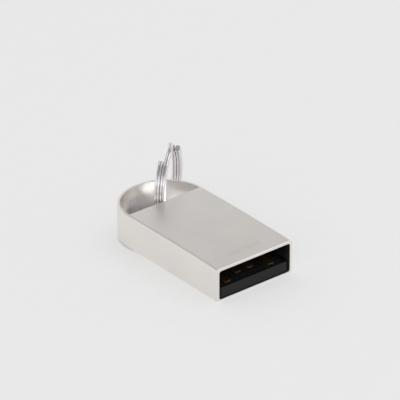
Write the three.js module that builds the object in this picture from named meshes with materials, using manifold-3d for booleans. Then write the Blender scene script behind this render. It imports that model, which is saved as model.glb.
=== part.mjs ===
// A one-piece metal USB flash drive with a key loop and a split ring.
// Millimetres. +X is the width, +Y runs from the plug's mouth to the key loop, +Z is up.
// The origin lies on the flat underside, halfway along the drive.

import * as THREE from 'three';
import { mergeVertices } from 'three/addons/utils/BufferGeometryUtils.js';
import Module from 'manifold-3d';

const wasm = await Module();
wasm.setup();

// ---- Driving dimensions: housing ----

const WIDTH = 12.0;                  // USB-A plug shell, outside
const PLUG_HEIGHT = 4.5;             // USB-A plug shell, outside, at the mouth
const LOOP_RADIUS = WIDTH / 2;       // the loop is a half circle as wide as the drive
const STRAIGHT_LENGTH = 17.9;        // from the mouth to the straight edge of the key hole
const BAND_WALL = 0.4;               // thickness of the loop's band
const TOP_EDGE_RADIUS = 0.25;        // rounding of the outside edges round the top
const UNDER_EDGE_RADIUS = 0.12;      // and round the underside
const CROWN_TOP = 4.65;              // highest point of the gently crowned top
const CROWN_FROM_MOUTH = 11.6;       // how far back that point is
const LOOP_HEIGHT = 4.42;            // height at the far end of the loop

const TOTAL_LENGTH = STRAIGHT_LENGTH + LOOP_RADIUS;
const MOUTH_Y = -TOTAL_LENGTH / 2;
const HOLE_Y = MOUTH_Y + STRAIGHT_LENGTH;     // straight edge of the hole, centre of the loop
const LOOP_END_Y = TOTAL_LENGTH / 2;
const CROWN_Y = MOUTH_Y + CROWN_FROM_MOUTH;

const SIDE_WALL = 0.37;
const FLOOR_WALL = 0.2;
const ROOF_Z = 4.17;                 // ceiling of the cavity
const REAR_WALL = 1.0;               // metal between the cavity and the key hole
const CAVITY_CORNER = 0.3;
const CAVITY_HALF = WIDTH / 2 - SIDE_WALL;
const CAVITY_END_Y = HOLE_Y - REAR_WALL;

// ---- Driving dimensions: split ring ----

const WIRE_RADIAL = 0.9;
const WIRE_AXIAL = 0.65;
const WIRE_CORNER = 0.15;
const LAYER_PITCH = 0.69;            // two layers side by side, 0.04 mm apart
const RING_OUTER = 5.1;
const RING_MIDDLE = RING_OUTER - WIRE_RADIAL / 2;
const RING_INNER = RING_OUTER - WIRE_RADIAL;
const RING_BEARING = 43.8;           // degrees from +Y towards +X, seen from the loop's centre
const RING_REACH = 5.7;              // from the loop's centre to the ring's centre
const RING_FACING = 52.5;            // degrees from +Y towards +X of the ring's own plane
const RING_CENTRE_Z = RING_INNER - 0.07;
const WIRE_START = 120;              // degrees round the ring, 0 is outwards and 90 is up
const CROSS_START = 414;             // where the wire steps from the first layer to the second
const CROSS_END = 462;
const WIRE_END = 763;
const WIRE_STEPS = 95;

// ---- Driving dimensions: tongue and memory module ----

const FILM = 0.06;
const CARRIER_HALF = 5.38;
const CARRIER_FRONT_Y = MOUTH_Y + 0.15;
const CARRIER_REAR_Y = CAVITY_END_Y - 0.7;
const CARRIER_FLOOR = 0.26;
const CARRIER_RIM = 0.33;            // width of the lip round the module
const TONGUE_Z = 1.72;               // top of the carrier's lip
const CLEARANCE = 0.02;
const MOLD_HEIGHT = 0.82;
const SUBSTRATE_HEIGHT = 0.3;
const CONTACT_HEIGHT = 0.07;
const CONTACT_WIDTH = 1.0;
const POWER_CONTACT_X = 3.5;         // either side of the middle
const DATA_CONTACT_X = 1.0;
const POWER_CONTACT_FRONT = 0.95;    // from the mouth
const DATA_CONTACT_FRONT = 1.95;     // data mates after power
const CONTACT_REAR = 8.4;

const FILM_Z = FLOOR_WALL;
const CARRIER_Z = FILM_Z + FILM;
const MOLD_Z = CARRIER_Z + CARRIER_FLOOR + CLEARANCE;
const SUBSTRATE_Z = MOLD_Z + MOLD_HEIGHT;
const CONTACT_Z = SUBSTRATE_Z + SUBSTRATE_HEIGHT;
const POCKET_HALF = CARRIER_HALF - CARRIER_RIM;
const POCKET_FRONT_Y = CARRIER_FRONT_Y + 0.4;
const POCKET_REAR_Y = CARRIER_REAR_Y - 0.4;
const MODULE_HALF = POCKET_HALF - CLEARANCE;
const MODULE_FRONT_Y = POCKET_FRONT_Y + CLEARANCE;
const MODULE_REAR_Y = POCKET_REAR_Y - CLEARANCE;
const SOCKET_DEPTH = 11.4;           // how far a socket's own tongue may enter

// ---- Solids from meshes ----

// Gives the solid enclosed by a closed mesh.
function toSolid(geometry) {
  const bare = geometry.clone();
  bare.deleteAttribute('normal');
  bare.deleteAttribute('uv');
  const merged = mergeVertices(bare, 1e-5);
  return new wasm.Manifold(new wasm.Mesh({
    numProp: 3,
    vertProperties: new Float32Array(merged.attributes.position.array),
    triVerts: new Uint32Array(merged.index.array),
  }));
}

function toGeometry(solid) {
  const mesh = solid.getMesh();
  const geometry = new THREE.BufferGeometry();
  geometry.setAttribute('position', new THREE.BufferAttribute(mesh.vertProperties, 3));
  geometry.setIndex(new THREE.BufferAttribute(mesh.triVerts, 1));
  geometry.computeVertexNormals();
  return geometry;
}

function cut(body, ...tools) {
  const solid = tools.reduce((rest, tool) => rest.subtract(toSolid(tool)), toSolid(body));
  return toGeometry(solid);
}

function join(body, ...others) {
  const solid = others.reduce((sum, other) => sum.add(toSolid(other)), toSolid(body));
  return toGeometry(solid);
}

// A box between two opposite corners.
function block(low, high) {
  const size = high.map((value, axis) => value - low[axis]);
  const middle = high.map((value, axis) => (value + low[axis]) / 2);
  return new THREE.BoxGeometry(...size).translate(...middle);
}

// A rectangle with rounded corners, between two opposite corners.
function roundedRectangle(left, bottom, right, top, radius) {
  const shape = new THREE.Shape();
  shape.moveTo(left + radius, bottom);
  shape.lineTo(right - radius, bottom);
  shape.absarc(right - radius, bottom + radius, radius, -Math.PI / 2, 0, false);
  shape.lineTo(right, top - radius);
  shape.absarc(right - radius, top - radius, radius, 0, Math.PI / 2, false);
  shape.lineTo(left + radius, top);
  shape.absarc(left + radius, top - radius, radius, Math.PI / 2, Math.PI, false);
  shape.lineTo(left, bottom + radius);
  shape.absarc(left + radius, bottom + radius, radius, Math.PI, 1.5 * Math.PI, false);
  return shape;
}

// A flat plate with the given outline, lying between two heights.
function plate(shape, low, high, curveSegments = 6) {
  const options = { depth: high - low, bevelEnabled: false, curveSegments };
  return new THREE.ExtrudeGeometry(shape, options).translate(0, 0, low);
}

// Skins a run of closed outlines. Each outline has the same even number of points and goes
// anticlockwise seen from the run's far end. Its first half is one side and its second half
// is the other side in reverse, so each end is closed by strips across opposite points.
function skin(outlines) {
  const count = outlines[0].length;
  const positions = outlines.flat().flatMap((point) => [point.x, point.y, point.z]);
  const index = [];
  const quad = (a, b, c, d) => index.push(a, b, c, a, c, d);
  for (let ring = 0; ring < outlines.length - 1; ring += 1) {
    for (let i = 0; i < count; i += 1) {
      const next = (i + 1) % count;
      const low = ring * count;
      const high = low + count;
      quad(low + i, low + next, high + next, high + i);
    }
  }
  const last = (outlines.length - 1) * count;
  for (let i = 0; i < count / 2 - 1; i += 1) {
    const across = count - 1 - i;
    quad(i, across, across - 1, i + 1);
    quad(last + i, last + i + 1, last + across - 1, last + across);
  }
  const geometry = new THREE.BufferGeometry();
  geometry.setAttribute('position', new THREE.Float32BufferAttribute(positions, 3));
  geometry.setIndex(index);
  geometry.computeVertexNormals();
  return geometry;
}

// ---- Housing ----

// Height of the top along the drive: a shallow crown that falls a little towards both ends.
function topHeight(y) {
  const rise = CROWN_TOP - PLUG_HEIGHT;
  const fall = CROWN_TOP - LOOP_HEIGHT;
  const forward = (y - CROWN_Y) / (MOUTH_Y - CROWN_Y);
  const back = (y - CROWN_Y) / (LOOP_END_Y - CROWN_Y);
  return y < CROWN_Y ? CROWN_TOP - rise * forward ** 2 : CROWN_TOP - fall * back ** 2;
}

// The drive's outline from above, moved inwards by `inset`, at the height that `heightAt` gives.
function planOutline(inset, heightAt) {
  const half = WIDTH / 2 - inset;
  const side = [];
  const straightSteps = 10;
  const arcSteps = 16;
  for (let i = 0; i < straightSteps; i += 1) {
    const y = THREE.MathUtils.lerp(MOUTH_Y + inset, HOLE_Y, i / straightSteps);
    side.push([half, y]);
  }
  for (let i = 0; i <= arcSteps; i += 1) {
    const angle = (i / (arcSteps + 0.5)) * (Math.PI / 2);
    side.push([half * Math.cos(angle), HOLE_Y + half * Math.sin(angle)]);
  }
  const right = side.map(([x, y]) => new THREE.Vector3(x, y, heightAt(y)));
  const left = side.map(([x, y]) => new THREE.Vector3(-x, y, heightAt(y)));
  return [...right, ...left.reverse()];
}

function housingGeometry() {
  const outlines = [];
  const edgeSteps = 3;
  for (let i = 0; i <= edgeSteps; i += 1) {
    const turn = (i / edgeSteps) * (Math.PI / 2);
    const rise = UNDER_EDGE_RADIUS * (1 - Math.cos(turn));
    outlines.push(planOutline(UNDER_EDGE_RADIUS * (1 - Math.sin(turn)), () => rise));
  }
  for (let i = edgeSteps; i >= 0; i -= 1) {
    const turn = (i / edgeSteps) * (Math.PI / 2);
    const drop = TOP_EDGE_RADIUS * (1 - Math.cos(turn));
    outlines.push(planOutline(TOP_EDGE_RADIUS * (1 - Math.sin(turn)), (y) => topHeight(y) - drop));
  }
  const body = skin(outlines);

  const mouth = roundedRectangle(-CAVITY_HALF, FLOOR_WALL, CAVITY_HALF, ROOF_Z, CAVITY_CORNER);
  const cavity = plate(mouth, 0, CAVITY_END_Y - MOUTH_Y + 1, 3);
  cavity.rotateX(Math.PI / 2);
  cavity.translate(0, CAVITY_END_Y, 0);

  const holeShape = new THREE.Shape();
  const holeRadius = LOOP_RADIUS - BAND_WALL;
  holeShape.moveTo(-holeRadius, HOLE_Y);
  holeShape.lineTo(holeRadius, HOLE_Y);
  holeShape.absarc(0, HOLE_Y, holeRadius, 0, Math.PI, false);
  const keyHole = plate(holeShape, -1, CROWN_TOP + 1, 32);

  return cut(body, cavity, keyHole);
}

// ---- Split ring ----

// One cross-section of the flat wire, in the ring's own frame: X is outwards in the ring's
// plane, Y is up in it and Z is across it.
function wireSection(degrees) {
  const angle = THREE.MathUtils.degToRad(degrees);
  const crossing = THREE.MathUtils.smoothstep(degrees, CROSS_START, CROSS_END);
  const across = (crossing - 0.5) * LAYER_PITCH;
  const halfAxial = WIRE_AXIAL / 2 - WIRE_CORNER;
  const halfRadial = WIRE_RADIAL / 2 - WIRE_CORNER;
  const side = [];
  for (const end of [-1, 1]) {
    for (let i = 0; i <= 2; i += 1) {
      const turn = (i / 2) * (Math.PI / 2) + (end < 0 ? -Math.PI / 2 : 0);
      side.push([
        halfAxial + WIRE_CORNER * Math.cos(turn),
        end * halfRadial + WIRE_CORNER * Math.sin(turn),
      ]);
    }
  }
  const place = (axial, radial) => {
    const distance = RING_MIDDLE + radial;
    return new THREE.Vector3(distance * Math.cos(angle), distance * Math.sin(angle), across + axial);
  };
  const near = side.map(([axial, radial]) => place(axial, radial));
  const far = side.map(([axial, radial]) => place(-axial, radial));
  return [...near, ...far.reverse()];
}

function splitRingGeometry() {
  const sections = [];
  for (let i = 0; i <= WIRE_STEPS; i += 1) {
    sections.push(wireSection(THREE.MathUtils.lerp(WIRE_START, WIRE_END, i / WIRE_STEPS)));
  }
  return skin(sections);
}

// The ring stands on its edge round the loop's band, in a vertical plane.
function splitRingPlacement() {
  const bearing = THREE.MathUtils.degToRad(RING_BEARING);
  const group = new THREE.Group();
  group.position.set(
    RING_REACH * Math.sin(bearing),
    HOLE_Y + RING_REACH * Math.cos(bearing),
    RING_CENTRE_Z,
  );
  group.rotation.order = 'ZYX';
  group.rotation.set(Math.PI / 2, 0, THREE.MathUtils.degToRad(90 - RING_FACING));
  return group;
}

// ---- Tongue and memory module ----

function carrierGeometry() {
  const outline = roundedRectangle(-CARRIER_HALF, CARRIER_FRONT_Y, CARRIER_HALF, CARRIER_REAR_Y, 0.25);
  const tray = plate(outline, CARRIER_Z, TONGUE_Z, 3);
  const pocket = block(
    [-POCKET_HALF, POCKET_FRONT_Y, CARRIER_Z + CARRIER_FLOOR],
    [POCKET_HALF, POCKET_REAR_Y, TONGUE_Z + 1],
  );
  return cut(tray, pocket);
}

function contactGeometry(x, front) {
  const half = CONTACT_WIDTH / 2;
  const outline = roundedRectangle(x - half, MOUTH_Y + front, x + half, MOUTH_Y + CONTACT_REAR, 0.3);
  return plate(outline, CONTACT_Z, CONTACT_Z + CONTACT_HEIGHT, 3);
}

// Bare dies and chips hang from the underside of the substrate. Each is given by its middle,
// measured across and back from the mouth, its size, and how far it starts below the substrate.
const DIE_THICKNESS = 0.12;
const CHIP_LENGTH = 1.0;
const CHIP_WIDTH = 0.5;
const NAND_SIZE = [8.2, 6.4, DIE_THICKNESS];
const CONTROLLER_SIZE = [2.8, 2.8, 0.2];
const CAPACITOR_SIZE = [CHIP_LENGTH, CHIP_WIDTH, 0.5];
const RESISTOR_SIZE = [CHIP_LENGTH, CHIP_WIDTH, 0.35];
const CAPACITOR_PLACES = [[-3.6, 10.6], [3.6, 10.6], [-3.6, 12.0], [3.6, 12.0]];
const RESISTOR_PLACES = [[-3.6, 13.4], [3.6, 13.4]];

const DIES = [
  { name: 'nand_die_1', x: 0, back: 5.4, size: NAND_SIZE, drop: 0 },
  { name: 'nand_die_2', x: 0, back: 5.9, size: NAND_SIZE, drop: DIE_THICKNESS },
  { name: 'controller_die', x: 0, back: 11.9, size: CONTROLLER_SIZE, drop: 0 },
];
const CHIPS = [
  ...CAPACITOR_PLACES.map(([x, back], i) => (
    { name: `capacitor_${i + 1}`, x, back, size: CAPACITOR_SIZE, drop: 0, finish: 'capacitor' }
  )),
  ...RESISTOR_PLACES.map(([x, back], i) => (
    { name: `resistor_${i + 1}`, x, back, size: RESISTOR_SIZE, drop: 0, finish: 'resistor' }
  )),
];

// The space that a component takes, grown by `margin` on its sides and below.
function componentBlock({ x, back, size, drop }, margin) {
  const [length, width, height] = size;
  const y = MOUTH_Y + back;
  const top = SUBSTRATE_Z - drop;
  return block(
    [x - length / 2 - margin, y - width / 2 - margin, top - height - margin],
    [x + length / 2 + margin, y + width / 2 + margin, margin > 0 ? SUBSTRATE_Z + 1 : top],
  );
}

// A ceramic chip: a body between two slightly prouder metal ends.
function chipGeometry(component) {
  const { x, back, size: [length, width, height] } = component;
  const y = MOUTH_Y + back;
  const thinner = 0.02;
  const endLength = 0.25;
  const body = block(
    [x - length / 2 + endLength / 2, y - width / 2 + thinner, SUBSTRATE_Z - height + thinner],
    [x + length / 2 - endLength / 2, y + width / 2 - thinner, SUBSTRATE_Z - thinner],
  );
  const ends = [-1, 1].map((side) => {
    const outer = x + side * (length / 2);
    const inner = outer - side * endLength;
    return block(
      [Math.min(inner, outer), y - width / 2, SUBSTRATE_Z - height],
      [Math.max(inner, outer), y + width / 2, SUBSTRATE_Z],
    );
  });
  return join(body, ...ends);
}

// The epoxy cap fills the space under the substrate and has a pocket for each component.
function moldGeometry() {
  const body = block([-MODULE_HALF, MODULE_FRONT_Y, MOLD_Z], [MODULE_HALF, MODULE_REAR_Y, SUBSTRATE_Z]);
  const pockets = [...DIES, ...CHIPS].map((component) => componentBlock(component, 0.03));
  return cut(body, ...pockets);
}

function substrateGeometry() {
  const outline = roundedRectangle(-MODULE_HALF, MODULE_FRONT_Y, MODULE_HALF, MODULE_REAR_Y, 0.2);
  return plate(outline, SUBSTRATE_Z, CONTACT_Z, 2);
}

// A block behind the plug's opening keeps the rear of the module down. It is cored from behind.
function retainerGeometry() {
  const front = MOUTH_Y + SOCKET_DEPTH;
  const rear = CAVITY_END_Y - 0.1;
  const low = TONGUE_Z + 0.03;
  const high = ROOF_Z - 0.05;
  const half = CARRIER_HALF + 0.1;
  const wall = 0.5;
  const body = block([-half, front, low], [half, rear, high]);
  const cores = [-1, 1].map((side) => {
    const [inner, outer] = [side * (wall / 2), side * (half - wall)];
    return block(
      [Math.min(inner, outer), front + wall, low + wall],
      [Math.max(inner, outer), rear + 1, high - wall],
    );
  });
  return cut(body, ...cores);
}

function bondingFilmGeometry() {
  const margin = 0.3;
  return block(
    [-CARRIER_HALF + margin, CARRIER_FRONT_Y + margin, FILM_Z],
    [CARRIER_HALF - margin, CARRIER_REAR_Y - margin, CARRIER_Z],
  );
}

// ---- Assembly ----

const FINISHES = {
  satinAlloy: { color: 0xc9c4bd, roughness: 0.38, metalness: 1.0 },
  chrome: { color: 0xd8d5dc, roughness: 0.1, metalness: 1.0 },
  blackPlastic: { color: 0x1b1b1d, roughness: 0.5, metalness: 0.0 },
  gold: { color: 0xc79a4e, roughness: 0.3, metalness: 1.0 },
  epoxy: { color: 0x151516, roughness: 0.6, metalness: 0.0 },
  circuitBoard: { color: 0x14241c, roughness: 0.45, metalness: 0.0 },
  silicon: { color: 0x6c7078, roughness: 0.25, metalness: 0.4 },
  capacitor: { color: 0x9c7a58, roughness: 0.5, metalness: 0.0 },
  resistor: { color: 0x202022, roughness: 0.4, metalness: 0.0 },
  film: { color: 0xd9d3bd, roughness: 0.7, metalness: 0.0 },
};

function part(name, geometry, finish) {
  const mesh = new THREE.Mesh(geometry, new THREE.MeshStandardMaterial(FINISHES[finish]));
  mesh.name = name;
  return mesh;
}

const drive = new THREE.Group();
drive.add(
  part('housing', housingGeometry(), 'satinAlloy'),
  part('bonding_film', bondingFilmGeometry(), 'film'),
  part('tongue_carrier', carrierGeometry(), 'blackPlastic'),
  part('module_mold', moldGeometry(), 'epoxy'),
  part('module_substrate', substrateGeometry(), 'circuitBoard'),
  part('contact_vbus', contactGeometry(-POWER_CONTACT_X, POWER_CONTACT_FRONT), 'gold'),
  part('contact_d_minus', contactGeometry(-DATA_CONTACT_X, DATA_CONTACT_FRONT), 'gold'),
  part('contact_d_plus', contactGeometry(DATA_CONTACT_X, DATA_CONTACT_FRONT), 'gold'),
  part('contact_gnd', contactGeometry(POWER_CONTACT_X, POWER_CONTACT_FRONT), 'gold'),
  part('retainer_block', retainerGeometry(), 'blackPlastic'),
);
for (const die of DIES) {
  drive.add(part(die.name, componentBlock(die, 0), 'silicon'));
}
for (const chip of CHIPS) {
  drive.add(part(chip.name, chipGeometry(chip), chip.finish));
}

const ring = splitRingPlacement();
ring.add(part('split_ring', splitRingGeometry(), 'chrome'));

const flashDrive = new THREE.Group();
flashDrive.add(drive, ring);

export default flashDrive;
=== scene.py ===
"""A one-piece metal USB flash drive with a key loop and a split ring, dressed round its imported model.

The shapes are worked out in millimetres and turned into metres when they become pieces.
+X is the width, +Y runs from the plug's mouth to the key loop and +Z is up.
"""

import math

import bmesh
import bpy
from mathutils import Matrix, Vector


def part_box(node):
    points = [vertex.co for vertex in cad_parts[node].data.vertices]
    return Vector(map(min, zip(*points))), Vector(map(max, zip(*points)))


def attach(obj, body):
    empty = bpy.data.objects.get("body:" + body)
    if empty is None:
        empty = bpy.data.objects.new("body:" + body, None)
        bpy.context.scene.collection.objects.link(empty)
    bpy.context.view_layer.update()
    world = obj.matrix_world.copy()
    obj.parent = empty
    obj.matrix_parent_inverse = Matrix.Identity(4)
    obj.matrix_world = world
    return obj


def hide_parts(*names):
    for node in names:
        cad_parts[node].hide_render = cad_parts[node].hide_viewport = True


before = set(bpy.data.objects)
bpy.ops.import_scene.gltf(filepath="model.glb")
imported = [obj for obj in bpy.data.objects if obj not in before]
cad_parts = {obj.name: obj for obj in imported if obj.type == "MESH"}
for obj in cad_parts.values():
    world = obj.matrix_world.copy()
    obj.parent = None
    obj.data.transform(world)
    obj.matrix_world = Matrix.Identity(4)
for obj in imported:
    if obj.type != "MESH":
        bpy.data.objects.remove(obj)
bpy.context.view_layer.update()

MM = 0.001


def box_mm(node):
    """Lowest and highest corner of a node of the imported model, in millimetres."""
    return [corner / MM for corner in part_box(node)]


# ---- Housing sizes, mm ----

HOUSING_LOW, HOUSING_HIGH = box_mm("housing")
HALF_WIDTH = HOUSING_HIGH.x
MOUTH_Y = HOUSING_LOW.y
LOOP_END_Y = HOUSING_HIGH.y
HOLE_Y = LOOP_END_Y - HALF_WIDTH      # straight edge of the key hole, and the loop's centre
BAND_WALL = 0.4
HOLE_RADIUS = HALF_WIDTH - BAND_WALL
PLUG_HEIGHT = 4.5                     # at the mouth
CROWN_TOP = 4.65
CROWN_Y = MOUTH_Y + 11.6
LOOP_HEIGHT = 4.42                    # at the far end of the loop
TOP_EDGE = 0.25                       # edge roundings
UNDER_EDGE = 0.12
FRONT_CORNER = 0.12
HOLE_EDGE = 0.13
MOUTH_EDGE = 0.06
SIDE_WALL = 0.37
FLOOR_WALL = 0.2
ROOF_Z = 4.17
CAVITY_CORNER = 0.3
CAVITY_HALF = HALF_WIDTH - SIDE_WALL
CAVITY_END_Y = HOLE_Y - 1.0
CAVITY_SHADE_FROM = 0.3                       # behind the mouth, where the painted shade on the inner walls starts
NEAR = 0.01                           # allowance when a place is matched to a surface
CLEAR = 1.0                           # how far a cutter stands out of the body
PLAIN, MARKED, CAVITY_SHADE, HOLE_WALL = range(4)    # the housing's materials, in order; the third is the cavity's inside, coloured near-black as painted shade

MARK_Y = MOUTH_Y + 2.1                # a plain row of engraved bars on the top
MARK_COUNT = 9
MARK_PITCH = 0.56
MARK_LENGTH = 0.75
MARK_WIDTH = 0.26
MARK_CORNER = 0.1
MARK_DEPTH = 0.02

# ---- Split ring sizes, mm and degrees ----

RING_LOW, RING_HIGH = box_mm("split_ring")
RING_CENTRE = (RING_LOW + RING_HIGH) / 2
RING_OUTER = 5.1
WIRE_RADIAL = 0.9
WIRE_AXIAL = 0.65
WIRE_CORNER = 0.19
GROOVE_HALF = 0.09                    # half the width of the groove along the wire
GROOVE_BOTTOM_HALF = 0.03
GROOVE_DEPTH = 0.07
WIRE_END_ROUNDING = [(0, 0.82), (0.25, 0.93), (0.6, 0.985), (1.1, 1)]    # degrees from an end, size
LAYER_PITCH = 0.69
RING_FACING = 52.5                    # from +Y towards +X, of the ring's own plane
WIRE_START = 120                      # 0 is outwards along the ring's facing, 90 is up
CROSS_START = 414
CROSS_END = 462
WIRE_END = 763
WIRE_STEP = 2

# ---- Camera and floor ----

CAMERA_AZIMUTH = -38.87
CAMERA_ELEVATION = 28.76
CAMERA_ROLL = -0.19
CAMERA_DISTANCE = 501.6
CAMERA_TARGET = Vector((0, 0.05, 2.0))
CAMERA_OFFSET = (-0.76, -4.53)        # of the target in the camera's own axes
LENS = 360
SENSOR = 36
FLOOR_SIZE = 3.0                      # metres
FLOOR_GAP = 0.02
FLOOR_SHADE = (-0.4, HOLE_Y + 1.2)    # middle of the unlit patch under the key hole
FLOOR_SHADE_FROM = 4.4                # its edge fades between these distances
FLOOR_SHADE_TO = 5.2
HOLE_PANEL_AT = (1.5, HOLE_Y + 0.9, -0.35)
HOLE_PANEL_SIZE = (3.2, 1.8)
HOLE_PANEL_POWER = 1.35e-4
HOLE_PANEL_TINT = (0.93, 0.97, 1.0)
SKY = [(0.0, 0.82), (0.38, 1.00), (0.50, 0.52), (1.0, 0.40)]   # height of a direction and its grey


# ---- Meshes ----

def skin(loops, strips=False):
    """Vertices and faces of the closed surface through a run of equal closed loops.

    The ends are closed by one flat face each, or by strips across mirrored points.
    """
    count = len(loops[0])
    last = (len(loops) - 1) * count
    vertices = [point for loop in loops for point in loop]
    faces = []
    for start in range(0, last, count):
        for i in range(count):
            after = (i + 1) % count
            faces.append((start + i, start + after, start + count + after, start + count + i))
    if strips:
        for i in range(count // 2 - 1):
            across = count - 1 - i
            faces.append((i, across, across - 1, i + 1))
            faces.append((last + i, last + i + 1, last + across - 1, last + across))
    else:
        faces.append(tuple(reversed(range(count))))
        faces.append(tuple(range(last, last + count)))
    return vertices, faces


def joined(parts):
    """Several (vertices, faces) pairs as one."""
    vertices, faces = [], []
    for part_vertices, part_faces in parts:
        start = len(vertices)
        vertices += part_vertices
        faces += [tuple(start + i for i in face) for face in part_faces]
    return vertices, faces


def mesh_object(name, shape):
    """A new object, still in millimetres, with its faces pointing out."""
    vertices, faces = shape
    mesh = bpy.data.meshes.new(name)
    mesh.from_pydata(vertices, [], faces)
    solid = bmesh.new()
    solid.from_mesh(mesh)
    bmesh.ops.recalc_face_normals(solid, faces=solid.faces)
    solid.to_mesh(mesh)
    solid.free()
    piece = bpy.data.objects.new(name, mesh)
    bpy.context.scene.collection.objects.link(piece)
    return piece


def subtract(piece, cutters):
    """Cuts the cutters out of the piece, in millimetres, and removes them."""
    for cutter in cutters:
        modifier = piece.modifiers.new("cut", "BOOLEAN")
        modifier.operation = "DIFFERENCE"
        modifier.solver = "EXACT"
        modifier.object = cutter
    evaluated = piece.evaluated_get(bpy.context.evaluated_depsgraph_get())
    mesh = bpy.data.meshes.new_from_object(evaluated)
    piece.modifiers.clear()
    piece.data = mesh
    for cutter in cutters:
        bpy.data.objects.remove(cutter)


def finish_piece(piece, body, materials, nodes, sharp=35):
    piece.data.transform(Matrix.Scale(MM, 4))
    for material in materials:
        piece.data.materials.append(material)
    piece.data.shade_smooth()
    piece.data.set_sharp_from_angle(angle=math.radians(sharp))
    weighted = piece.modifiers.new("even_normals", "WEIGHTED_NORMAL")
    weighted.keep_sharp = True
    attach(piece, body)
    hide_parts(*nodes)
    return piece


def dress_node(name, material, edge=None):
    """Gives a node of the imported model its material, and softens its edges if asked."""
    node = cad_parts[name]
    node.data.materials.clear()
    node.data.materials.append(material)
    if edge:
        weld = node.modifiers.new("weld", "WELD")
        weld.merge_threshold = 1e-6
        bevel = node.modifiers.new("soft_edges", "BEVEL")
        bevel.width = edge * MM
        bevel.segments = 2
        bevel.limit_method = "ANGLE"
        bevel.angle_limit = math.radians(40)
        node.modifiers.new("even_normals", "WEIGHTED_NORMAL")


def quarter(steps):
    """Angles from 0 to a quarter turn."""
    return [i / steps * math.pi / 2 for i in range(steps + 1)]


def rounded_rectangle(left, bottom, right, top, radius, steps=4):
    """Points round a rectangle with rounded corners, anticlockwise."""
    corners = [
        (right - radius, bottom + radius, -90), (right - radius, top - radius, 0),
        (left + radius, top - radius, 90), (left + radius, bottom + radius, 180),
    ]
    points = []
    for x, y, start in corners:
        for turn in quarter(steps):
            angle = math.radians(start) + turn
            points.append((x + radius * math.cos(angle), y + radius * math.sin(angle)))
    return points


# ---- Housing ----

def top_height(y):
    """The top is a shallow crown that falls a little towards both ends."""
    if y < CROWN_Y:
        return CROWN_TOP - (CROWN_TOP - PLUG_HEIGHT) * ((y - CROWN_Y) / (MOUTH_Y - CROWN_Y)) ** 2
    return CROWN_TOP - (CROWN_TOP - LOOP_HEIGHT) * ((y - CROWN_Y) / (LOOP_END_Y - CROWN_Y)) ** 2


def plan_outline(inset, height_at):
    """The drive's outline from above, moved inwards, at the height that height_at(y) gives."""
    half = HALF_WIDTH - inset
    corner = max(FRONT_CORNER - inset, 0.01)
    front = MOUTH_Y + inset
    side = [
        (half - corner * (1 - math.sin(turn)), front + corner * (1 - math.cos(turn)))
        for turn in quarter(5)
    ]
    straight_steps, arc_steps = 22, 48
    side_front = front + corner
    for i in range(1, straight_steps):
        side.append((half, side_front + (HOLE_Y - side_front) * i / straight_steps))
    for i in range(arc_steps):
        # The last point is half a step short of the middle, where the mirrored half starts.
        angle = i / (arc_steps - 0.5) * math.pi / 2
        side.append((half * math.cos(angle), HOLE_Y + half * math.sin(angle)))
    right = [(x, y, height_at(y)) for x, y in side]
    left = [(-x, y, height_at(y)) for x, y in reversed(side)]
    return right + left


def body_shape():
    """The outside of the drive and its loop, before anything is cut out of it."""
    loops = []
    for turn in quarter(4):
        rise = UNDER_EDGE * (1 - math.cos(turn))
        loops.append(plan_outline(UNDER_EDGE * (1 - math.sin(turn)), lambda y, z=rise: z))
    for turn in reversed(quarter(7)):
        drop = TOP_EDGE * (1 - math.cos(turn))
        loops.append(plan_outline(TOP_EDGE * (1 - math.sin(turn)), lambda y, d=drop: top_height(y) - d))
    return skin(loops, strips=True)


def flare(radius, steps=5):
    """Offset and depth pairs of a rounding that leaves a surface a little before its tangent.

    The first pair is where the rounding starts, and the last stands clear of the surface.
    """
    last_turn = math.radians(78)
    pairs = []
    for i in range(steps + 1):
        turn = last_turn * i / steps
        pairs.append((radius * (1 - math.cos(turn)), radius * (1 - math.sin(turn))))
    beyond = 0.5 * radius
    offset, depth = pairs[-1]
    pairs.append((offset + beyond * math.sin(last_turn), depth - beyond * math.cos(last_turn)))
    pairs.append((pairs[-1][0], -CLEAR))
    return pairs


def hole_outline(offset, height_at):
    """The key hole's outline, moved outwards: a half circle closed by its straight edge."""
    radius = HOLE_RADIUS + offset
    first = -math.asin(offset / radius)
    steps = 72
    points = []
    for i in range(steps + 1):
        angle = first + (math.pi - 2 * first) * i / steps
        points.append((radius * math.cos(angle), HOLE_Y + radius * math.sin(angle)))
    corner_x = radius * math.cos(first)
    straight_steps = 12
    for i in range(1, straight_steps):
        points.append((-corner_x + 2 * corner_x * i / straight_steps, HOLE_Y - offset))
    return [(x, y, height_at(y)) for x, y in points]


def hole_shape():
    """The cutter for the key hole, which rounds the hole's edges at both ends."""
    loops = []
    for offset, depth in reversed(flare(HOLE_EDGE)):
        loops.append(hole_outline(offset, lambda y, z=depth: z))
    for offset, depth in flare(HOLE_EDGE):
        if depth == -CLEAR:
            loops.append(hole_outline(offset, lambda y: CROWN_TOP + CLEAR))
        else:
            loops.append(hole_outline(offset, lambda y, d=depth: top_height(y) - d))
    return skin(loops)


def cavity_shape():
    """The cutter for the plug's inside, which rounds the mouth's edge."""
    loops = []
    levels = [(0, CAVITY_END_Y)] + [(offset, MOUTH_Y + depth) for offset, depth in flare(MOUTH_EDGE)]
    for offset, y in levels:
        section = rounded_rectangle(
            -CAVITY_HALF - offset, FLOOR_WALL - offset, CAVITY_HALF + offset, ROOF_Z + offset,
            CAVITY_CORNER + offset, steps=6,
        )
        loops.append([(x, y, z) for x, z in section])
    return skin(loops)


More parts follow.
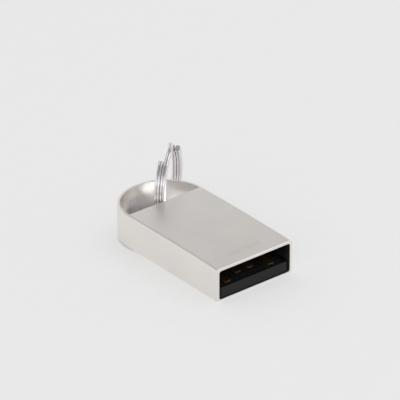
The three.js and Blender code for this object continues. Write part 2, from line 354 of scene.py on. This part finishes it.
def mark_shape():
    """A row of upright bars sunk a little below the top."""
    bars = []
    for i in range(MARK_COUNT):
        x = (i - (MARK_COUNT - 1) / 2) * MARK_PITCH
        outline = rounded_rectangle(
            x - MARK_WIDTH / 2, MARK_Y - MARK_LENGTH / 2, x + MARK_WIDTH / 2, MARK_Y + MARK_LENGTH / 2,
            MARK_CORNER, steps=3,
        )
        low = [(px, py, top_height(py) - MARK_DEPTH) for px, py in outline]
        high = [(px, py, CROWN_TOP + CLEAR) for px, py in outline]
        bars.append(skin([low, high]))
    return joined(bars)


def housing_region(x, y, z):
    """Which of the housing's materials a face belongs to, from its middle."""
    in_row = abs(x) < MARK_COUNT * MARK_PITCH / 2 and abs(y - MARK_Y) < MARK_LENGTH
    if in_row and ROOF_Z + NEAR < z < top_height(y) - MARK_DEPTH / 3:
        return MARKED
    in_cavity = abs(x) < CAVITY_HALF + NEAR and MOUTH_Y + CAVITY_SHADE_FROM < y < CAVITY_END_Y + NEAR
    if in_cavity and FLOOR_WALL - NEAR < z < ROOF_Z + NEAR:
        return CAVITY_SHADE
    if y > HOLE_Y - NEAR and math.hypot(x, y - HOLE_Y) < HOLE_RADIUS + NEAR:
        return HOLE_WALL
    return PLAIN


def add_housing(metal, marked_metal, shaded_cast_metal, hole_metal):
    """The casting, with the key hole, the plug's inside and the row of bars cut out."""
    piece = mesh_object("metal_housing", body_shape())
    cutters = [
        mesh_object("key_hole_cutter", hole_shape()),
        mesh_object("cavity_cutter", cavity_shape()),
        mesh_object("mark_cutter", mark_shape()),
    ]
    subtract(piece, cutters)
    for face in piece.data.polygons:
        face.material_index = housing_region(*face.center)
    materials = [metal, marked_metal, shaded_cast_metal, hole_metal]
    finish_piece(piece, "drive", materials, ["housing"], sharp=32)


# ---- Split ring ----

def smoothstep(value, low, high):
    t = min(max((value - low) / (high - low), 0), 1)
    return t * t * (3 - 2 * t)


def ring_axes():
    """Outwards in the ring's plane, upwards in it, and across it."""
    facing = math.radians(RING_FACING)
    outwards = Vector((math.sin(facing), math.cos(facing), 0))
    upwards = Vector((0, 0, 1))
    return outwards, upwards, outwards.cross(upwards)


def wire_profile(size):
    """The flat wire's rounded and grooved section, across the ring and along its radius."""
    half_axial, half_radial = size * WIRE_AXIAL / 2, size * WIRE_RADIAL / 2
    outline = rounded_rectangle(
        -half_axial, -half_radial, half_axial, half_radial, size * WIRE_CORNER, steps=4,
    )
    groove = [
        (across * size, half_radial - depth * size)
        for across, depth in [
            (GROOVE_HALF, 0), (GROOVE_BOTTOM_HALF, GROOVE_DEPTH),
            (-GROOVE_BOTTOM_HALF, GROOVE_DEPTH), (-GROOVE_HALF, 0),
        ]
    ]
    per_corner = len(outline) // 4
    outer_end = 2 * per_corner
    far_groove = [(-x, -r) for x, r in groove]
    return outline[:outer_end] + groove + outline[outer_end:] + far_groove


def wire_section(degrees, size):
    """One loop round the flat wire, `size` times its full section."""
    outwards, upwards, across = ring_axes()
    angle = math.radians(degrees)
    radial = math.cos(angle) * outwards + math.sin(angle) * upwards
    layer = (smoothstep(degrees, CROSS_START, CROSS_END) - 0.5) * LAYER_PITCH
    centre = RING_CENTRE + (RING_OUTER - WIRE_RADIAL / 2) * radial + layer * across
    return [tuple(centre + a * across + r * radial) for a, r in wire_profile(size)]


def groove_shade_mask(index):
    """1 at the bottom of the grooves along the wire, and 0 on the rest of it: the mask of the painted
    shade in the grooves.
    """
    axial, radial = wire_profile(1)[index]
    return float(abs(axial) < GROOVE_HALF and abs(radial) < WIRE_RADIAL / 2 - NEAR)


def add_ring(chrome):
    """The wire wound nearly twice round, with softened cut ends and a flow for its finish that also marks
    where the grooves get painted shade.
    """
    steps = round((WIRE_END - WIRE_START - 2 * WIRE_STEP) / WIRE_STEP)
    middle = [(WIRE_START + WIRE_STEP * (i + 1), 1) for i in range(steps + 1)]
    sections = (
        [(WIRE_START + away, size) for away, size in WIRE_END_ROUNDING]
        + middle
        + [(WIRE_END - away, size) for away, size in reversed(WIRE_END_ROUNDING)]
    )
    shape = skin([wire_section(degrees, size) for degrees, size in sections])
    piece = mesh_object("key_split_ring", shape)
    count = len(wire_profile(1))
    flow = piece.data.attributes.new("wire_flow_and_groove_shade", "FLOAT_VECTOR", "POINT")
    for i in range(len(piece.data.vertices)):
        degrees = sections[i // count][0]
        along = math.radians(degrees) * RING_OUTER
        around = (i % count) / count * 2 * (WIRE_AXIAL + WIRE_RADIAL)
        # the third value is the mask of the painted shade in the grooves
        flow.data[i].vector = (along * MM, around * MM, groove_shade_mask(i % count))
    finish_piece(piece, "ring", [chrome], ["split_ring"], sharp=50)


# ---- Tongue carrier and chips ----

def add_tongue(plastic):
    """The moulded tray that holds the memory module, with rounded lips."""
    low, high = box_mm("tongue_carrier")
    floor, rim, front_rim = 0.26, 0.33, 0.4
    edge, corner, pocket_corner = 0.07, 0.25, 0.08
    outside = (low.x, low.y, high.x, high.y)
    pocket = (low.x + rim, low.y + front_rim, high.x - rim, high.y - front_rim)

    def loop(bounds, grow, radius, z):
        left, bottom, right, top = bounds
        outline = rounded_rectangle(left - grow, bottom - grow, right + grow, top + grow, radius)
        return [(x, y, z) for x, y in outline]

    loops = []
    for turn in quarter(3):
        inset = edge * (1 - math.sin(turn))
        loops.append(loop(outside, -inset, corner - inset, low.z + edge * (1 - math.cos(turn))))
    for turn in reversed(quarter(3)):
        inset = edge * (1 - math.sin(turn))
        loops.append(loop(outside, -inset, corner - inset, high.z - edge * (1 - math.cos(turn))))
    for turn in quarter(3):
        grow = edge * (1 - math.sin(turn))
        loops.append(loop(pocket, grow, pocket_corner + grow, high.z - edge * (1 - math.cos(turn))))
    loops.append(loop(pocket, 0, pocket_corner, low.z + floor))
    piece = mesh_object("plug_tongue", skin(loops))
    finish_piece(piece, "drive", [plastic], ["tongue_carrier"])


def add_chip(node, ceramic, tin):
    """A ceramic chip with two plated ends that stand a little proud of it."""
    low, high = box_mm(node)
    end_length, thinner, edge, corner = 0.25, 0.02, 0.02, 0.05
    stations = [
        (low.x, edge), (low.x + edge, 0), (low.x + end_length, 0), (low.x + end_length, thinner),
        (high.x - end_length, thinner), (high.x - end_length, 0), (high.x - edge, 0), (high.x, edge),
    ]
    loops = []
    for x, inset in stations:
        section = rounded_rectangle(
            low.y + inset, low.z + inset, high.y - inset, high.z - inset, corner, steps=2,
        )
        loops.append([(x, y, z) for y, z in section])
    piece = mesh_object(node + "_chip", skin(loops))
    for face in piece.data.polygons:
        in_body = low.x + end_length < face.center.x < high.x - end_length
        face.material_index = 0 if in_body else 1
    finish_piece(piece, "drive", [ceramic, tin], [node])


# ---- Materials ----

class Surface:
    """A principled material and the nodes that feed it. Sizes are in millimetres."""

    def __init__(self, name, **settings):
        self.material = bpy.data.materials.new(name)
        self.material.use_nodes = True
        self.tree = self.material.node_tree
        self.shader = self.tree.nodes["Principled BSDF"]
        self.place = self.node("ShaderNodeTexCoord").outputs["Object"]
        for socket, value in settings.items():
            self.shader.inputs[socket.replace("_", " ")].default_value = value

    def node(self, kind, inputs=(), **settings):
        made = self.tree.nodes.new(kind)
        for name, value in settings.items():
            setattr(made, name, value)
        for socket, value in dict(inputs).items():
            if isinstance(value, bpy.types.NodeSocket):
                self.tree.links.new(value, made.inputs[socket])
            else:
                made.inputs[socket].default_value = value
        return made

    def stretched(self, scale, place=None):
        inputs = {0: place or self.place, 1: scale}
        return self.node("ShaderNodeVectorMath", inputs, operation="MULTIPLY").outputs[0]

    def noise(self, size, detail=3.0, place=None):
        inputs = {"Vector": place or self.place, "Scale": 1 / (size * MM), "Detail": detail}
        return self.node("ShaderNodeTexNoise", inputs).outputs["Fac"]

    def cells(self, size, place=None, feature="F1"):
        inputs = {"Vector": place or self.place, "Scale": 1 / (size * MM)}
        return self.node("ShaderNodeTexVoronoi", inputs, feature=feature).outputs["Distance"]

    def spread(self, value, to_low, to_high, from_low=0.3, from_high=0.7):
        inputs = {0: value, 1: from_low, 2: from_high, 3: to_low, 4: to_high}
        return self.node("ShaderNodeMapRange", inputs).outputs[0]

    def total(self, first, second):
        return self.node("ShaderNodeMath", {0: first, 1: second}, operation="ADD").outputs[0]

    def mix(self, factor, first, second):
        inputs = {0: factor, 6: first, 7: second}
        return self.node("ShaderNodeMix", inputs, data_type="RGBA").outputs[2]

    def bump(self, height, depth, below=None):
        inputs = {"Height": height, "Distance": depth * MM, "Strength": 1.0}
        if below:
            inputs["Normal"] = below
        return self.node("ShaderNodeBump", inputs).outputs["Normal"]

    def feed(self, **links):
        for socket, value in links.items():
            self.tree.links.new(value, self.shader.inputs[socket.replace("_", " ")])
        return self.material


def colour(red, green, blue):
    return (red, green, blue, 1.0)


def satin_alloy(name="satin_alloy_metal", light=1.0, rough=0.0):
    """Bead-blasted, nickel-plated alloy: soft clouds, a fine grain, faint handling scratches and a painted
    highlight along the edges.
    """
    s = Surface(name, Metallic=1.0)
    clouds = s.noise(5.0, detail=2)
    grain = s.noise(0.11, detail=2)
    scratches = s.noise(0.5, detail=4, place=s.stretched((6.0, 0.35, 6.0)))
    smudges = s.noise(2.2, detail=4)
    cool = colour(0.833 * light, 0.804 * light, 0.774 * light)
    warm = colour(0.881 * light, 0.836 * light, 0.798 * light)
    # painted highlight: the sharp edges get a lighter colour that stands in for the light along the
    # rounded edges
    edges = s.node("ShaderNodeNewGeometry").outputs["Pointiness"]
    edge_highlight = s.spread(edges, 0.0, 0.35, 0.52, 0.62)
    edge_highlight_tint = colour(0.89 * light, 0.855 * light, 0.81 * light)
    tint = s.mix(edge_highlight, s.mix(s.spread(clouds, 0, 1), cool, warm), edge_highlight_tint)
    dull = s.spread(smudges, 0.30 + rough, 0.37 + rough)
    roughness = s.total(dull, s.spread(scratches, 0, 0.03))
    normal = s.bump(scratches, 0.0012, s.bump(grain, 0.0016))
    return s.feed(Base_Color=tint, Roughness=roughness, Normal=normal)


def shaded_cast_wall():
    """The inside of the casting, coloured near-black as painted shade for the dark cavity, dull and
    pitted.
    """
    s = Surface("cast_inner_wall_painted_shade", Metallic=1.0)
    pits = s.cells(0.12)
    stains = s.noise(1.8, detail=4)
    # painted shade: near-black colours stand in for the shade inside the cavity
    tint = s.mix(s.spread(stains, 0, 1), colour(0.07, 0.066, 0.062), colour(0.12, 0.114, 0.106))
    roughness = s.spread(stains, 0.55, 0.70)
    return s.feed(Base_Color=tint, Roughness=roughness, Normal=s.bump(pits, 0.01))


def ring_chrome():
    """Bright plated spring steel with rubbed lines along the wire and painted shade in the grooves."""
    s = Surface("bright_chrome", Metallic=1.0)
    flow = s.node("ShaderNodeAttribute", attribute_name="wire_flow_and_groove_shade").outputs["Vector"]
    lines = s.noise(0.12, detail=3, place=s.stretched((0.06, 1.0, 1.0), flow))
    dull = s.noise(1.4, detail=3)
    groove = s.node("ShaderNodeSeparateXYZ", {0: flow}).outputs["Z"]
    bright = s.mix(s.spread(dull, 0, 1), colour(0.75, 0.725, 0.755), colour(0.89, 0.865, 0.90))
    # painted shade: the bottoms of the grooves get a dark grey colour
    tint = s.mix(groove, bright, colour(0.42, 0.39, 0.40))
    roughness = s.total(s.spread(dull, 0.05, 0.11), s.spread(lines, 0, 0.05))
    return s.feed(Base_Color=tint, Roughness=roughness, Normal=s.bump(lines, 0.0012))


def black_plastic():
    """Moulded plastic with a fine spark-eroded texture."""
    s = Surface("moulded_black_plastic", IOR=1.34)
    texture = s.cells(0.09)
    patches = s.noise(1.6)
    tint = s.mix(s.spread(patches, 0, 1), colour(0.005, 0.005, 0.006), colour(0.009, 0.009, 0.010))
    roughness = s.spread(patches, 0.42, 0.56)
    return s.feed(Base_Color=tint, Roughness=roughness, Normal=s.bump(texture, 0.004))


def contact_gold():
    """Plated pads, rubbed along the way that the plug slides."""
    s = Surface("rubbed_gold", Metallic=1.0)
    rubs = s.noise(0.14, detail=4, place=s.stretched((1.0, 0.08, 1.0)))
    tarnish = s.noise(0.8)
    tint = s.mix(s.spread(tarnish, 0, 1), colour(0.46, 0.27, 0.13), colour(0.58, 0.37, 0.18))
    roughness = s.spread(rubs, 0.30, 0.50)
    return s.feed(Base_Color=tint, Roughness=roughness, Normal=s.bump(rubs, 0.0015))


def circuit_board():
    """Black solder mask that shows the copper tracks under it as a faint relief."""
    s = Surface("solder_masked_board", IOR=1.52, Coat_Weight=0.3, Coat_Roughness=0.2)
    tracks = s.node(
        "ShaderNodeTexBrick",
        {"Vector": s.place, "Scale": 1 / (1.9 * MM), "Mortar Size": 0.06, "Mortar Smooth": 0.4},
        offset=0.3,
    ).outputs["Fac"]
    weave = s.cells(0.25, feature="SMOOTH_F1")
    tint = s.mix(tracks, colour(0.012, 0.011, 0.011), colour(0.030, 0.026, 0.024))
    roughness = s.spread(weave, 0.30, 0.45, 0, 1)
    return s.feed(Base_Color=tint, Roughness=roughness, Normal=s.bump(tracks, 0.006, s.bump(weave, 0.002)))


def moulded_epoxy():
    """Dark filled epoxy with pale filler specks."""
    s = Surface("filled_epoxy", IOR=1.55)
    specks = s.spread(s.cells(0.06), 1, 0, 0.05, 0.25)
    flow = s.noise(1.1, detail=4)
    tint = s.mix(specks, colour(0.020, 0.020, 0.022), colour(0.075, 0.075, 0.080))
    roughness = s.spread(flow, 0.52, 0.70)
    return s.feed(Base_Color=tint, Roughness=roughness, Normal=s.bump(s.noise(0.08), 0.004))


def silicon():
    """A bare die: blocks of memory cells between darker lanes."""
    s = Surface("bare_silicon", Metallic=0.5, IOR=2.5)
    blocks = s.node(
        "ShaderNodeTexBrick",
        {"Vector": s.place, "Scale": 1 / (0.9 * MM), "Mortar Size": 0.03, "Brick Width": 0.9},
        offset=0.0,
    ).outputs["Fac"]
    sheen = s.noise(2.5, detail=1)
    face = s.mix(s.spread(sheen, 0, 1), colour(0.30, 0.33, 0.40), colour(0.42, 0.38, 0.36))
    tint = s.mix(blocks, face, colour(0.12, 0.13, 0.15))
    roughness = s.spread(s.noise(0.3), 0.16, 0.28)
    return s.feed(Base_Color=tint, Roughness=roughness, Normal=s.bump(blocks, 0.002))


def chip_ceramic(name, dark, light):
    """Fired ceramic with a slightly open grain."""
    s = Surface(name, IOR=1.6)
    grain = s.noise(0.07, detail=4)
    tint = s.mix(s.spread(grain, 0, 1), colour(*dark), colour(*light))
    roughness = s.spread(s.noise(0.3), 0.40, 0.58)
    return s.feed(Base_Color=tint, Roughness=roughness, Normal=s.bump(grain, 0.003))


def tinned_end():
    """Soldered plating, uneven and slightly wrinkled."""
    s = Surface("tinned_end", Metallic=1.0)
    wrinkles = s.noise(0.12, detail=4)
    tint = s.mix(s.spread(wrinkles, 0, 1), colour(0.62, 0.62, 0.61), colour(0.78, 0.78, 0.76))
    roughness = s.spread(s.noise(0.25), 0.24, 0.40)
    return s.feed(Base_Color=tint, Roughness=roughness, Normal=s.bump(wrinkles, 0.005))


def adhesive_film():
    """Acrylic bonding film with trapped bubbles."""
    s = Surface("acrylic_film", IOR=1.47)
    bubbles = s.spread(s.cells(0.5), 0, 1, 0.05, 0.3)
    haze = s.noise(1.5, detail=3)
    body = s.mix(s.spread(haze, 0, 1), colour(0.74, 0.70, 0.58), colour(0.82, 0.79, 0.69))
    tint = s.mix(bubbles, colour(0.88, 0.86, 0.80), body)
    roughness = s.spread(haze, 0.55, 0.75)
    return s.feed(Base_Color=tint, Roughness=roughness, Normal=s.bump(bubbles, 0.006))


def floor_paper():
    """Pale backlit sweep, so that the drive's shadow stays faint, and unlit under the key hole."""
    s = Surface("pale_sweep", Roughness=0.9, Emission_Strength=1.0)
    s.shader.inputs["Specular IOR Level"].default_value = 0.1
    tooth = s.noise(2.0, detail=2)
    tint = s.mix(s.spread(tooth, 0, 1), colour(0.465, 0.465, 0.465), colour(0.475, 0.475, 0.475))
    from_shade = s.node(
        "ShaderNodeVectorMath", {0: s.place, 1: Vector((*FLOOR_SHADE, 0)) * MM}, operation="DISTANCE",
    ).outputs["Value"]
    lit = s.spread(from_shade, 0, 1, FLOOR_SHADE_FROM * MM, FLOOR_SHADE_TO * MM)
    glow = s.mix(lit, colour(0.0, 0.0, 0.0), colour(0.48, 0.48, 0.48))
    return s.feed(Base_Color=tint, Emission_Color=glow)


# ---- Camera, floor and light ----

def camera_axes():
    """The camera's right, up and backward directions."""
    azimuth, elevation, roll = map(
        math.radians, (CAMERA_AZIMUTH, CAMERA_ELEVATION, CAMERA_ROLL)
    )
    level = Vector((math.cos(azimuth), math.sin(azimuth), 0))
    back = Vector((
        math.sin(azimuth) * math.cos(elevation),
        -math.cos(azimuth) * math.cos(elevation),
        math.sin(elevation),
    ))
    up = back.cross(level)
    right = math.cos(roll) * level + math.sin(roll) * up
    return right, math.cos(roll) * up - math.sin(roll) * level, back


def add_camera():
    right, up, back = camera_axes()
    across, rise = CAMERA_OFFSET
    data = bpy.data.cameras.new("camera")
    data.lens = LENS
    data.sensor_width = SENSOR
    data.clip_start, data.clip_end = 0.01, 10
    camera = bpy.data.objects.new("camera", data)
    turn = Matrix((right, up, back)).transposed().to_4x4()
    place = CAMERA_TARGET + CAMERA_DISTANCE * back - across * right - rise * up
    camera.matrix_world = Matrix.Translation(place * MM) @ turn
    bpy.context.scene.collection.objects.link(camera)
    bpy.context.scene.camera = camera


def add_floor():
    """A plane through the plug's lower front edge and the ring's lowest point."""
    lowest = min((v.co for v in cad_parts["split_ring"].data.vertices), key=lambda co: co.z) / MM
    slope = (lowest.z - HOUSING_LOW.z) / (lowest.y - MOUTH_Y)
    half = FLOOR_SIZE / 2 / MM
    corners = []
    for x, y in [(-half, -half), (half, -half), (half, half), (-half, half)]:
        corners.append((x, y, slope * (y - MOUTH_Y) - FLOOR_GAP))
    floor = mesh_object("floor", (corners, [(0, 1, 2, 3)]))
    floor.data.transform(Matrix.Scale(MM, 4))
    floor.data.materials.append(floor_paper())


def area_lamp(name, size, power, tint):
    """A rectangular light that the camera doesn't see. Its sides are in metres."""
    data = bpy.data.lights.new(name, "AREA")
    data.shape = "RECTANGLE"
    data.size, data.size_y = size
    data.energy = power
    data.color = tint
    lamp = bpy.data.objects.new(name, data)
    lamp.visible_camera = False
    bpy.context.scene.collection.objects.link(lamp)
    return lamp


def add_softbox(name, azimuth, elevation, distance, size, power, tint=(1, 1, 1)):
    """A soft light that faces the drive. Azimuth is from +Y towards +X."""
    lamp = area_lamp(name, size, power, tint)
    turn, rise = math.radians(azimuth), math.radians(elevation)
    away = Vector((math.sin(turn) * math.cos(rise), math.cos(turn) * math.cos(rise), math.sin(rise)))
    lamp.location = away * distance
    lamp.rotation_mode = "QUATERNION"
    lamp.rotation_quaternion = away.to_track_quat("Z", "Y")


def add_hole_light():
    """A tiny upward panel under the key hole that brightens what the hole's wall mirrors."""
    size = [side * MM for side in HOLE_PANEL_SIZE]
    lamp = area_lamp("hole_panel", size, HOLE_PANEL_POWER, HOLE_PANEL_TINT)
    lamp.location = Vector(HOLE_PANEL_AT) * MM
    lamp.rotation_euler = (math.pi, 0, 0)


def add_light():
    world = bpy.data.worlds.new("studio")
    bpy.context.scene.world = world
    world.use_nodes = True
    tree = world.node_tree
    background = tree.nodes["Background"]
    direction = tree.nodes.new("ShaderNodeTexCoord").outputs["Generated"]
    split = tree.nodes.new("ShaderNodeSeparateXYZ")
    ramp = tree.nodes.new("ShaderNodeValToRGB")
    tree.links.new(direction, split.inputs[0])
    tree.links.new(split.outputs["Z"], ramp.inputs[0])
    tree.links.new(ramp.outputs[0], background.inputs["Color"])
    lowest, *between, highest = [(height, colour(grey, grey, grey)) for height, grey in SKY]
    ramp.color_ramp.elements[0].color = lowest[1]
    ramp.color_ramp.elements[1].color = highest[1]
    for height, shade in between:
        ramp.color_ramp.elements.new(height).color = shade
    background.inputs["Strength"].default_value = 1.0
    add_softbox("key_box", 115, 62, 0.6, (0.45, 0.45), 0.52)
    add_softbox("left_box", -115, 30, 0.55, (0.35, 0.25), 0.3, (1.0, 0.98, 0.96))
    add_hole_light()


# ---- Assembly ----

add_camera()
add_floor()
add_light()
bpy.context.scene.view_settings.view_transform = "Standard"

ALLOY = satin_alloy()
MARKED_ALLOY = satin_alloy("engraved_alloy_metal", light=0.94, rough=0.04)
HOLE_ALLOY = satin_alloy("hole_wall_metal", rough=-0.05)
PLASTIC = black_plastic()
TIN = tinned_end()
CAPACITOR = chip_ceramic("capacitor_ceramic", (0.42, 0.30, 0.19), (0.56, 0.43, 0.30))
RESISTOR = chip_ceramic("resistor_glaze", (0.015, 0.015, 0.018), (0.05, 0.05, 0.055))

add_housing(ALLOY, MARKED_ALLOY, shaded_cast_wall(), HOLE_ALLOY)
add_ring(ring_chrome())
add_tongue(PLASTIC)
for number in range(1, 5):
    add_chip(f"capacitor_{number}", CAPACITOR, TIN)
for number in range(1, 3):
    add_chip(f"resistor_{number}", RESISTOR, TIN)

GOLD = contact_gold()
for contact in ("contact_vbus", "contact_d_minus", "contact_d_plus", "contact_gnd"):
    dress_node(contact, GOLD, edge=0.02)
dress_node("module_substrate", circuit_board(), edge=0.02)
dress_node("module_mold", moulded_epoxy())
dress_node("retainer_block", PLASTIC, edge=0.06)
dress_node("bonding_film", adhesive_film(), edge=0.015)
SILICON = silicon()
for die in ("nand_die_1", "nand_die_2", "controller_die"):
    dress_node(die, SILICON, edge=0.008)
